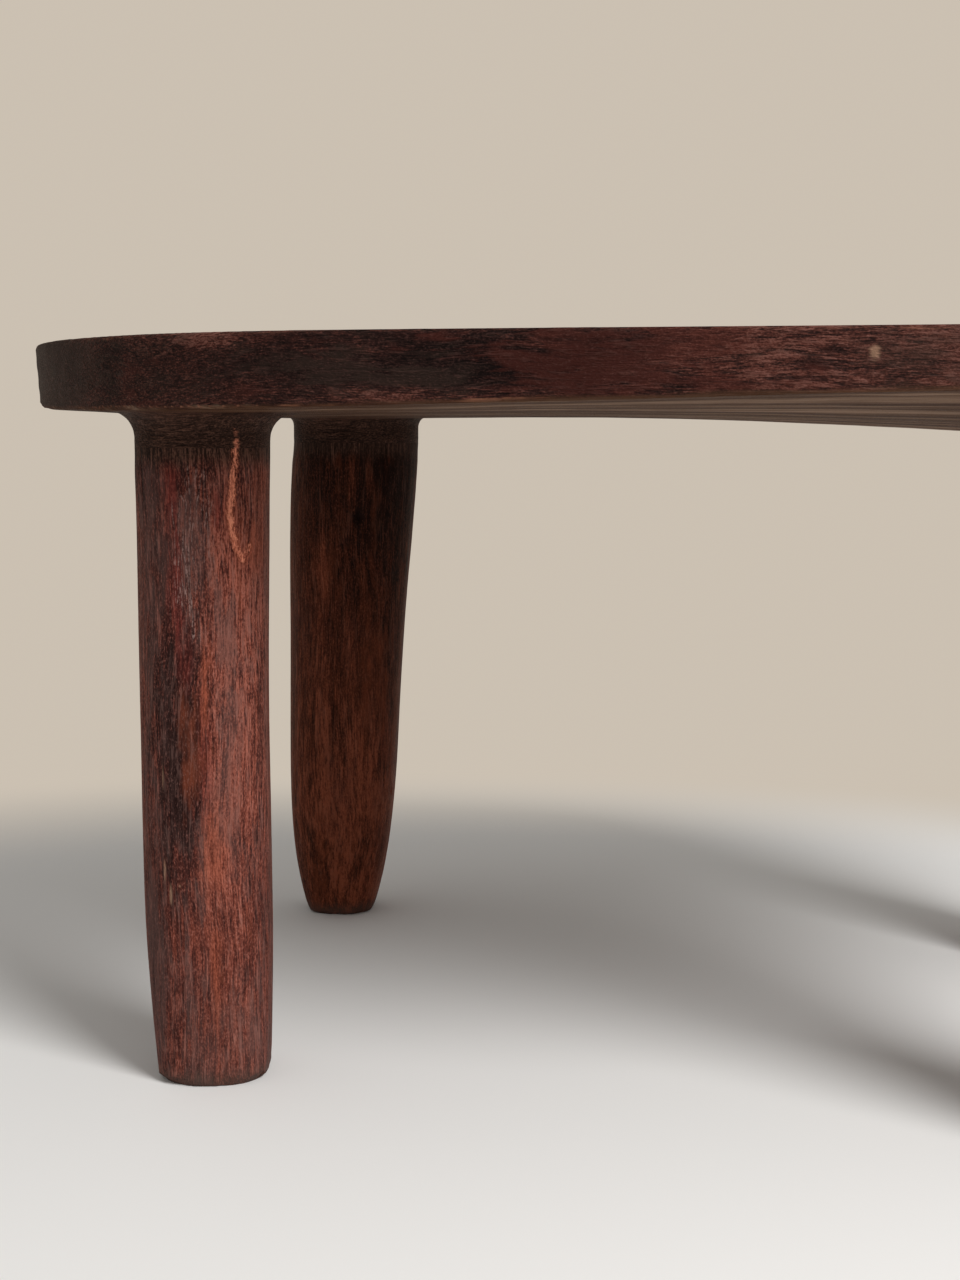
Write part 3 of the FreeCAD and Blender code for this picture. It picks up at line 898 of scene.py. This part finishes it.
def grainy(wood, dark, bright):
    """A colour that changes with the finest grain."""
    finest = calculate(wood.tree, "ADD", wood.grain["Fibre"], wood.grain["Fleck"])
    finest = calculate(wood.tree, "MULTIPLY", finest, 0.5)
    return colour_ramp(wood.tree, finest, ((FINEST_DARK, dark), (FINEST_BRIGHT, bright)))


def finish_wood(wood, bump, pieces):
    """Send colour, roughness and height to the shader, and dress the pieces."""
    relief = add_node(wood.tree, "Bump", {
        "Height": wood.patina["Height"], "Strength": BUMP_STRENGTH, "Distance": bump,
    })
    fill_inputs(wood.tree, wood.tree.nodes["Principled BSDF"], {
        "Base Color": wood.colour,
        "Roughness": wood.patina["Roughness"],
        "Specular IOR Level": SPECULAR,
        "Normal": relief.outputs[0],
    })
    for piece in pieces:
        piece.data.materials.append(wood.material)
    print(wood.material.name, "has", len(wood.tree.nodes), "nodes")


print("Wood helpers ready")

# %% [markdown]
# The stout legs are the reddest wood of the table. On the front left one, hands and feet have
# left dark stains, rubbed places glow orange, the torn strip is bare, and pale hairs stand up
# along three grooves. Polish and soot have gathered at the shoulder, where the brown of the
# collar runs on into the leg. The marks are placed where the photograph shows them.

# %% Stout leg wood
LEG_SQUEEZE = (1, 1, 0.06)
STOUT_COLOURS = (
    (0.00, (0.016, 0.0056, 0.0048, 1)),
    (0.22, (0.040, 0.0118, 0.0092, 1)),
    (0.38, (0.078, 0.0205, 0.0145, 1)),
    (0.52, (0.134, 0.0345, 0.0228, 1)),
    (0.66, (0.200, 0.0535, 0.0345, 1)),
    (0.90, (0.335, 0.1030, 0.0680, 1)),
)
STOUT_LAYERS = (
    ("Warm", 0.45, (0.265, 0.064, 0.031, 1)),
    ("Dust_and_sheen", 0.55, (0.100, 0.054, 0.047, 1)),
    ("Speck_and_glint", 0.36, (0.290, 0.155, 0.130, 1)),
)
COLLAR_COLOURS = (
    (0.20, (0.013, 0.006, 0.004, 1)),
    (0.50, (0.038, 0.018, 0.012, 1)),
    (0.80, (0.105, 0.050, 0.034, 1)),
)
SALMON = (0.340, 0.082, 0.046, 1), (0.780, 0.290, 0.175, 1)
RAW_ORANGE = (0.150, 0.033, 0.018, 1), (0.360, 0.092, 0.048, 1)
CRIMSON = (0.080, 0.013, 0.010, 1), (0.220, 0.038, 0.028, 1)
GREY_HAIR = (0.260, 0.165, 0.145, 1)
PALE_CREAM = (0.330, 0.195, 0.125, 1)
STOUT_TONES = [
    ((-0.2445, -0.2205, 0.218), (0.0195, 0.03, 0.145), -0.42),
    ((-0.2385, -0.2210, 0.190), (0.0115, 0.03, 0.060), -0.36),
    ((-0.2130, -0.2090, 0.240), (0.015, 0.03, 0.125), 0.20),
    ((-0.2150, -0.2115, 0.315), (0.010, 0.03, 0.045), 0.10),
    ((-0.2217, -0.2160, 0.160), (0.010, 0.03, 0.040), 0.14),
    ((-0.2250, -0.2173, 0.122), (0.008, 0.03, 0.030), 0.16),
    # The next two darken the leg low down at its left and right edges: painted shade where its sides
    # turn from the light
    ((-0.2570, -0.2160, 0.085), (0.008, 0.03, 0.060), -0.16),
    ((-0.2050, -0.2000, 0.085), (0.012, 0.03, 0.045), -0.08),
]
# Grey on the leg: on the left facet and in the middle of the front it is painted sheen, at the foot it
# is dust
STOUT_DUST_AND_SHEEN = [
    ((-0.2630, -0.2140, 0.270), (0.007, 0.03, 0.110), 0.18),
    ((-0.2130, -0.2090, 0.235), (0.014, 0.03, 0.070), 0.16),
    ((-0.2320, -0.2200, 0.305), (0.010, 0.03, 0.050), 0.08),
    ((-0.2167, -0.2133, 0.262), (0.007, 0.03, 0.022), 0.30),
    ((-0.2440, -0.2205, 0.205), (0.018, 0.03, 0.130), 0.07),
    ((-0.2600, -0.2160, 0.090), (0.009, 0.03, 0.070), 0.30),
    ((-0.2350, -0.2150, 0.020), (0.060, 0.06, 0.075), 0.14),
]
CRIMSON_STREAKS = [
    ((-0.2440, -0.2215, 0.335), (0.0055, 0.03, 0.032), 0.9),
    ((-0.2420, -0.2210, 0.285), (0.0045, 0.03, 0.032), 0.9),
    ((-0.2188, -0.2149, 0.327), (0.0030, 0.03, 0.013), 1.0),
    ((-0.2380, -0.2210, 0.246), (0.0055, 0.03, 0.022), 0.5),
    ((-0.2265, -0.2175, 0.190), (0.0040, 0.03, 0.042), 0.7),
]
RUBBED_STREAKS = [
    ((-0.2026, -0.1890, 0.342), (0.0030, 0.02, 0.024), 0.5),
    ((-0.2040, -0.1965, 0.305), (0.0040, 0.02, 0.017), 0.8),
    ((-0.2267, -0.2175, 0.222), (0.0022, 0.02, 0.030), 0.9),
    ((-0.2230, -0.2165, 0.137), (0.0060, 0.02, 0.030), 0.8),
    ((-0.2237, -0.2155, 0.070), (0.0035, 0.02, 0.035), 0.8),
]
PALE_BITS = [
    ((-0.2506, -0.2208, 0.1262), (0.0007, 0.02, 0.0060), 1.0),
    ((-0.2471, -0.2212, 0.1122), (0.0008, 0.02, 0.0050), 1.0),
    ((-0.2417, -0.2209, 0.1176), (0.0008, 0.02, 0.0010), 1.0),
    ((-0.2509, -0.2205, 0.1800), (0.0006, 0.02, 0.0070), 0.8),
]
FLOOR_DIRT = (0.070, 0.048, 0.038, 1)
# Heights where a zone of the leg starts and is full
TOP_ZONE = (SHOULDER - 0.060, SHOULDER - 0.005)
COLLAR_ZONE = (SHOULDER - 0.015, SHOULDER - 0.002)
BOLD_ZONE, DIRT_ZONE = (0.10, 0.24), (0.013, 0.001)
# Painted shade: how far the tone drops at the top of a leg, under the plank
ZONE_FRAY, TOP_SHADE = -0.004, -0.10
HAIR_SCALE = 480
SCUFF_EDGE, HAIR_BREAK = (0.95, 1.45), (0.40, 0.56)
HALO_EDGE, TORN_EDGE = (1.18, 1.55), (1.42, 1.60)


def level_mask(wood, low, high):
    """0 below one height and 1 above another, with a rough edge."""
    height = add_node(wood.tree, "SeparateXYZ", {0: wood.place}).outputs["Z"]
    return fray(wood, height, "Bite", ZONE_FRAY, low, high)


def darken_top(wood, shift):
    """Paint shade into the leg's topmost part, under the plank, by shifting the tone down."""
    return calculate(wood.tree, "MULTIPLY_ADD", level_mask(wood, *TOP_ZONE), TOP_SHADE, shift)


def blend_collar(wood, shift):
    """Let the collar's brown run on into the top of the leg, without the leg's own stains."""
    tone = calculate(wood.tree, "SUBTRACT", wood.patina["Tone"], shift)
    brown = colour_ramp(wood.tree, tone, COLLAR_COLOURS)
    lay_over(wood, level_mask(wood, *COLLAR_ZONE), 0.95, brown)


def dirty_foot(wood):
    """Grey the lowest rim of a leg with dirt from the floor."""
    lay_over(wood, level_mask(wood, *DIRT_ZONE), 0.65, FLOOR_DIRT)


wood = start_wood("stout_leg_wood", LEG_SQUEEZE)
tree = wood.tree
shift = darken_top(wood, add_marks(wood, STOUT_TONES))
contrast = calculate(tree, "MULTIPLY_ADD", level_mask(wood, *BOLD_ZONE), 0.3, 1.0)
coat(wood, shift, contrast, add_marks(wood, STOUT_DUST_AND_SHEEN), STOUT_COLOURS, STOUT_LAYERS)
lay_over(wood, add_marks(wood, CRIMSON_STREAKS), 0.65, grainy(wood, *CRIMSON))
orange = grainy(wood, *RAW_ORANGE)
lay_over(wood, add_marks(wood, RUBBED_STREAKS), 0.7, orange)
hair_place = move(tree, "MULTIPLY", wood.place, LEG_SQUEEZE)
hair = add_node(tree, "TexNoise", {"Vector": hair_place, "Scale": HAIR_SCALE, "Detail": 1})
scuffed = fray(wood, read_mark(wood, "scuffed"), "Mottle", 1.2, *SCUFF_EDGE)
scuffed = calculate(tree, "MULTIPLY", scuffed, step_up(tree, wood.grain["Fleck"], *HAIR_BREAK))
scuffed = calculate(tree, "MULTIPLY", scuffed, line_at(tree, hair.outputs["Fac"], 0.5))
lay_over(wood, scuffed, 0.8, GREY_HAIR)
blend_collar(wood, shift)
ragged = calculate(tree, "MULTIPLY_ADD", wood.grain["Fleck"], 0.7, read_mark(wood, "torn"))
lay_over(wood, fray(wood, ragged, "Mottle", 0.7, *HALO_EDGE), 0.55, orange)
lay_over(wood, fray(wood, ragged, "Mottle", 0.7, *TORN_EDGE), 0.9, grainy(wood, *SALMON))
lay_over(wood, add_marks(wood, PALE_BITS), 0.6, PALE_CREAM)
dirty_foot(wood)
finish_wood(wood, BUMPS["stout"], [legs["front_left"], legs["rear_right"]])

# %% [markdown]
# The tapered legs are browner and darker, with red streaks where the stain has worn thin, a
# nearly black zone below the collar that painted shade under the plank darkens further, a black
# knot, and a lighter, rubbed foot.

# %% Tapered leg wood
TAPERED_COLOURS = (
    (0.08, (0.008, 0.0020, 0.0010, 1)),
    (0.25, (0.028, 0.0068, 0.0028, 1)),
    (0.40, (0.053, 0.0126, 0.0054, 1)),
    (0.52, (0.080, 0.0195, 0.0086, 1)),
    (0.66, (0.124, 0.0310, 0.0145, 1)),
    (0.88, (0.230, 0.0600, 0.0290, 1)),
)
TAPERED_LAYERS = (
    ("Warm", 0.45, (0.170, 0.040, 0.016, 1)),
    ("Dust_and_sheen", 0.35, (0.052, 0.021, 0.016, 1)),
    ("Speck_and_glint", 0.25, (0.200, 0.085, 0.055, 1)),
)
TAPERED_TONES = [
    ((-0.2294, 0.1570, 0.330), (0.028, 0.05, 0.110), -0.34),
    ((-0.2600, 0.1400, 0.320), (0.060, 0.05, 0.130), -0.20),
    ((-0.2568, 0.1380, 0.340), (0.004, 0.04, 0.026), 0.34),
    ((-0.2450, 0.1420, 0.338), (0.003, 0.04, 0.026), 0.34),
    ((-0.2796, 0.1372, 0.262), (0.005, 0.04, 0.034), 0.30),
    ((-0.2603, 0.1432, 0.215), (0.005, 0.04, 0.034), 0.18),
    ((-0.2810, 0.1400, 0.168), (0.007, 0.04, 0.044), 0.16),
    ((-0.2537, 0.1406, 0.306), (0.006, 0.02, 0.006), -0.60),
    ((-0.2700, 0.1470, 0.085), (0.080, 0.08, 0.075), 0.26),
    ((-0.2846, 0.1432, 0.120), (0.014, 0.06, 0.045), 0.12),
    ((-0.2560, 0.1620, 0.018), (0.030, 0.06, 0.022), 0.20),
    ((-0.2500, 0.1600, 0.062), (0.010, 0.06, 0.014), -0.12),
    # Painted shade down the right edge of the leg
    ((-0.2330, 0.1760, 0.200), (0.014, 0.022, 0.180), -0.12),
]
TAPERED_DUST = [
    ((-0.2544, 0.1482, 0.128), (0.022, 0.05, 0.050), 0.10),
    # Less grey down the right edge, with the painted shade there
    ((-0.2350, 0.1600, 0.200), (0.020, 0.05, 0.200), -0.05),
]
KNOT_HEART = [(KNOT, (0.0045, 0.02, 0.0045), 1.0)]
KNOT_BLACK = (0.005, 0.0018, 0.0012, 1)
TAPERED_CONTRAST = 0.85

wood = start_wood("tapered_leg_wood", LEG_SQUEEZE)
shift = darken_top(wood, add_marks(wood, TAPERED_TONES))
dust_and_sheen = add_marks(wood, TAPERED_DUST)
coat(wood, shift, TAPERED_CONTRAST, dust_and_sheen, TAPERED_COLOURS, TAPERED_LAYERS)
lay_over(wood, add_marks(wood, KNOT_HEART), 0.85, KNOT_BLACK)
blend_collar(wood, shift)
dirty_foot(wood)
finish_wood(wood, BUMPS["tapered"], [legs["rear_left"], legs["front_right"]])

# %% [markdown]
# The plank is nearly black on its rim, with red-brown wood showing through at the right, grey
# painted sheen at the left end, and pale fibres where the tool tore the grain. Its underside was
# never polished and has stayed a dull tan, with long furrows from the gouge, which are seen so
# nearly edge-on that their light and shade are painted into the tan with a broad noise of their
# own. A thin pale line runs along the lower edge, painted as knocked wear and as the edge's
# highlight, a painted highlight runs along the upper edge, and one small scar shows bare, pale
# wood.

# %% Plank wood
PLANK_SQUEEZE = (0.15, 0.8, 1.5)
FURROW_SQUEEZE = (0.03, 1, 1)
FURROW_NOISE = {"Scale": 85, "Detail": 4, "Roughness": 0.75}
FURROW_SHADE_CONTRAST, PLANK_CONTRAST, TOP_LIFT = 3.1, 0.95, 0.12
LOWER_EDGE, UPPER_EDGE = (1.10, 1.35), (1.9, 2.5)
PLANK_COLOURS = (
    (0.08, (0.0040, 0.0016, 0.0015, 1)),
    (0.25, (0.0095, 0.0035, 0.0030, 1)),
    (0.40, (0.0175, 0.0066, 0.0055, 1)),
    (0.50, (0.0260, 0.0095, 0.0076, 1)),
    (0.60, (0.0440, 0.0142, 0.0104, 1)),
    (0.72, (0.0800, 0.0255, 0.0180, 1)),
    (0.92, (0.1550, 0.0620, 0.0470, 1)),
)
PLANK_LAYERS = (
    ("Warm", 0.50, (0.066, 0.0155, 0.0105, 1)),
    ("Dust_and_sheen", 0.60, (0.027, 0.0160, 0.0120, 1)),
    ("Speck_and_glint", 0.32, (0.095, 0.0480, 0.0395, 1)),
)
UNDERSIDE_COLOURS = (
    (0.05, (0.044, 0.016, 0.008, 1)),
    (0.35, (0.066, 0.029, 0.015, 1)),
    (0.55, (0.097, 0.049, 0.028, 1)),
    (0.95, (0.250, 0.158, 0.105, 1)),
)
EDGE_BROWN = (0.270, 0.115, 0.066, 1)
PLANK_TONES = [
    ((-0.3800, -0.1300, 0.400), (0.090, 0.160, 0.060), -0.08),
    ((-0.2703, -0.2399, 0.405), (0.012, 0.03, 0.030), -0.16),
    ((-0.2000, -0.2730, 0.417), (0.022, 0.03, 0.005), 0.30),
    ((-0.1650, -0.2790, 0.405), (0.045, 0.03, 0.022), -0.12),
    ((-0.0500, -0.2840, 0.405), (0.110, 0.03, 0.024), -0.30),
    ((-0.1080, -0.2845, 0.410), (0.016, 0.03, 0.003), 0.20),
    ((-0.0154, -0.2837, 0.400), (0.032, 0.03, 0.012), -0.14),
    ((-0.0251, -0.2845, 0.4125), (0.016, 0.03, 0.004), 0.30),
    ((-0.1000, -0.2825, 0.387), (0.055, 0.03, 0.006), 0.22),
    ((0.0000, -0.2830, 0.388), (0.070, 0.03, 0.006), 0.10),
    ((0.0150, -0.2845, 0.412), (0.020, 0.03, 0.008), -0.10),
    ((0.0620, -0.2840, 0.402), (0.046, 0.03, 0.026), 0.20),
    ((0.0550, -0.2833, 0.393), (0.030, 0.03, 0.003), -0.16),
    ((0.2400, -0.2840, 0.404), (0.180, 0.03, 0.040), 0.20),
]
PLANK_DUST_AND_SHEEN = [
    # The first mark is grey painted sheen on the left end
    ((-0.3600, -0.1500, 0.400), (0.100, 0.170, 0.060), 0.60),
    ((-0.1310, -0.2837, 0.403), (0.028, 0.03, 0.010), 0.30),
    ((-0.0850, -0.2837, 0.396), (0.026, 0.03, 0.006), 0.25),
    ((0.0100, -0.2840, 0.403), (0.085, 0.03, 0.030), -0.22),
    ((0.1600, -0.2840, 0.402), (0.080, 0.03, 0.030), 0.08),
]
PLANK_CONTRASTS = [((0.2800, -0.2840, 0.400), (0.260, 0.060, 0.080), -0.28)]
UNDER_TONES = [((-0.2550, 0.0000, 0.375), (0.260, 0.420, 0.030), -0.35)]
EDGE_RUN = [((-0.1750, -0.2800, 0.385), (0.170, 0.08, 0.030), 1.0)]
SCAR = [((0.1318, -0.2842, 0.4074), (0.0026, 0.02, 0.0036), 1.0)]
TORN_END = [((-0.2106, -0.2078, 0.3600), (0.0012, 0.02, 0.0080), 1.0)]

wood = start_wood("plank_wood", PLANK_SQUEEZE)
tree = wood.tree
shift = add_marks(wood, PLANK_TONES)
shift = calculate(tree, "MULTIPLY_ADD", read_mark(wood, "tabletop"), TOP_LIFT, shift)
contrast = add_marks(wood, PLANK_CONTRASTS, PLANK_CONTRAST)
coat(wood, shift, contrast, add_marks(wood, PLANK_DUST_AND_SHEEN), PLANK_COLOURS, PLANK_LAYERS)
# The underside's tan, banded by a noise that paints the light and shade of the gouge furrows
furrow_place = move(tree, "MULTIPLY", wood.place, FURROW_SQUEEZE)
furrow_light_and_shade = add_node(tree, "TexNoise", {"Vector": furrow_place, **FURROW_NOISE}).outputs["Fac"]
tone = calculate(tree, "SUBTRACT", furrow_light_and_shade, 0.5)
tone = calculate(tree, "MULTIPLY_ADD", tone, FURROW_SHADE_CONTRAST, 0.5)
tan_and_furrow_shade = colour_ramp(tree, add_marks(wood, UNDER_TONES, tone), UNDERSIDE_COLOURS)
lay_over(wood, read_mark(wood, "underside"), 0.95, tan_and_furrow_shade)
brown = colour_ramp(tree, wood.patina["Tone"], COLLAR_COLOURS)
lay_over(wood, read_mark(wood, "collar"), 0.95, brown)
# Pale line on the lower edge: wear and a painted highlight
worn_and_lit_edge = fray(wood, read_mark(wood, "lower_edge"), "Blotch", 1.0, *LOWER_EDGE)
worn_and_lit_edge = calculate(tree, "MULTIPLY", worn_and_lit_edge, add_marks(wood, EDGE_RUN, 0.1))
lay_over(wood, worn_and_lit_edge, 0.8, EDGE_BROWN)
# Painted highlight along the upper edge
lay_over(wood, fray(wood, read_mark(wood, "upper_edge"), "Blotch", 2.4, *UPPER_EDGE), 0.5, EDGE_BROWN)
lay_over(wood, add_marks(wood, SCAR), 0.65, PALE_CREAM)
lay_over(wood, add_marks(wood, TORN_END), 0.9, grainy(wood, *SALMON))
finish_wood(wood, BUMPS["plank"], [plank])

# %% [markdown]
# The wedges are slips of the same red wood. Their ends have darkened with the table top, but a
# little less than the plank around them, so the joints can be read from above.

# %% Wedge wood
WEDGE_SQUEEZE = (1, 0.3, 0.06)
WEDGE_SHIFT, WEDGE_CONTRAST = -0.14, 0.9

wood = start_wood("wedge_wood", WEDGE_SQUEEZE)
coat(wood, WEDGE_SHIFT, WEDGE_CONTRAST, 0.0, STOUT_COLOURS, STOUT_LAYERS)
finish_wood(wood, BUMPS["wedge"], wedges.values())

# %% [markdown]
# The stage is a pale floor that fades into a plain warm background, so that every view is
# calm. The fade is seen by the camera and in reflections only, and the light does not change.

# %% Floor
FLOOR_RADIUS = 6.0
FADE_START, FADE_END = 0.46, 0.80
FADE_SQUEEZE = (0.7, 1, 1)
FLOOR_PAINT = {"Base Color": (0.86, 0.85, 0.83, 1), "Roughness": 0.8, "Specular IOR Level": 0.2}
BACKDROP = (0.60, 0.53, 0.445, 1)


def seen_directly(tree):
    """1 for what the camera, a reflection or a clear body sees, and 0 for light."""
    rays = add_node(tree, "LightPath", {}).outputs
    seen = calculate(tree, "MAXIMUM", rays["Is Camera Ray"], rays["Is Glossy Ray"])
    return calculate(tree, "MAXIMUM", seen, rays["Is Transmission Ray"])


let_go()
bpy.ops.mesh.primitive_circle_add(
    vertices=ROUND_POINTS, radius=FLOOR_RADIUS, fill_type="NGON", location=(0, 0, 0)
)
floor = bpy.context.object
floor.name = "floor"
floor_paint = bpy.data.materials.new("floor_paint")
floor_paint.use_nodes = True
tree = floor_paint.node_tree
shader = fill_inputs(tree, tree.nodes["Principled BSDF"], FLOOR_PAINT)
place = add_node(tree, "TexCoord", {}).outputs["Object"]
nearer = move(tree, "MULTIPLY", place, FADE_SQUEEZE)
away = add_node(tree, "VectorMath", {0: nearer}, operation="LENGTH").outputs["Value"]
fade = calculate(tree, "MULTIPLY", step_up(tree, away, FADE_START, FADE_END), seen_directly(tree))
glow = add_node(tree, "Emission", {"Color": BACKDROP})
blend = add_node(tree, "MixShader", {0: fade, 1: shader.outputs[0], 2: glow.outputs[0]})
tree.links.new(blend.outputs[0], tree.nodes["Material Output"].inputs["Surface"])
floor.data.materials.append(floor_paint)
print("Floor laid, fading out", FADE_START, "to", FADE_END, "m from the middle")

# %% [markdown]
# One large lamp stands at the front right, at about forty degrees, like daylight from a window
# beside the camera. It throws the plank's shade on the tops of the legs. A dim sky fills in the
# rest, and shows as the plain background where the camera sees it.

# %% Lamp and sky
LAMP_PLACE, LAMP_AIM = Vector((1.5, -1.32, 1.9)), Vector((-0.05, 0, 0.25))
LAMP_SIZE, LAMP_POWER = 1.1, 62.0
SKY_COLOUR, SKY_STRENGTH = (1, 0.98, 0.95, 1), 0.40

lamp = bpy.data.objects.new("lamp", bpy.data.lights.new("lamp", "AREA"))
bpy.context.scene.collection.objects.link(lamp)
lamp.data.shape, lamp.data.size, lamp.data.energy = "DISK", LAMP_SIZE, LAMP_POWER
lamp.location = LAMP_PLACE
lamp.rotation_euler = (LAMP_AIM - LAMP_PLACE).to_track_quat("-Z", "Y").to_euler()

sky = bpy.data.worlds.new("sky")
bpy.context.scene.world = sky
sky.use_nodes = True
tree = sky.node_tree
fill = fill_inputs(tree, tree.nodes["Background"], {"Color": SKY_COLOUR, "Strength": SKY_STRENGTH})
backdrop = add_node(tree, "Background", {"Color": BACKDROP})
blend = add_node(tree, "MixShader", {0: seen_directly(tree), 1: fill.outputs[0], 2: backdrop.outputs[0]})
tree.links.new(blend.outputs[0], tree.nodes["World Output"].inputs["Surface"])
bpy.context.scene.view_settings.view_transform = "Standard"
print("Lamp of", LAMP_POWER, "W and a sky of", SKY_STRENGTH)
